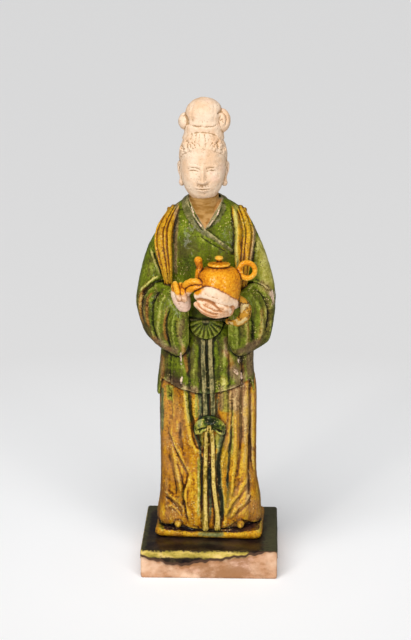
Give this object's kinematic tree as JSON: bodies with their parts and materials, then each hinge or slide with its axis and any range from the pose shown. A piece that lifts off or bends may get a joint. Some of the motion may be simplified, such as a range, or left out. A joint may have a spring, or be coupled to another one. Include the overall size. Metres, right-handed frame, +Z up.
{
  "type": "attendant figure",
  "caption": "Standing glazed earthenware attendant in layered robes holding a lidded ewer, on a small slab and a square glazed plinth.",
  "frame": {"origin": "middle of the plinth's underside", "axes": "+Z up through the figure, -Y is its front, +X is to the right of someone who faces it"},
  "size_m": [0.1567, 0.15, 0.5185],
  "materials": {
    "figure_glaze": "lead-glazed earthenware: green jacket, amber skirt, stole and ewer, unglazed pale clay head and hands",
    "plinth_glaze": "dark green-brown lead glaze on top that runs down to bare pinkish clay"
  },
  "bodies": {
    "root": {"attendant_figure": "figure_glaze", "plinth": "plinth_glaze"}
  },
  "joints": []
}
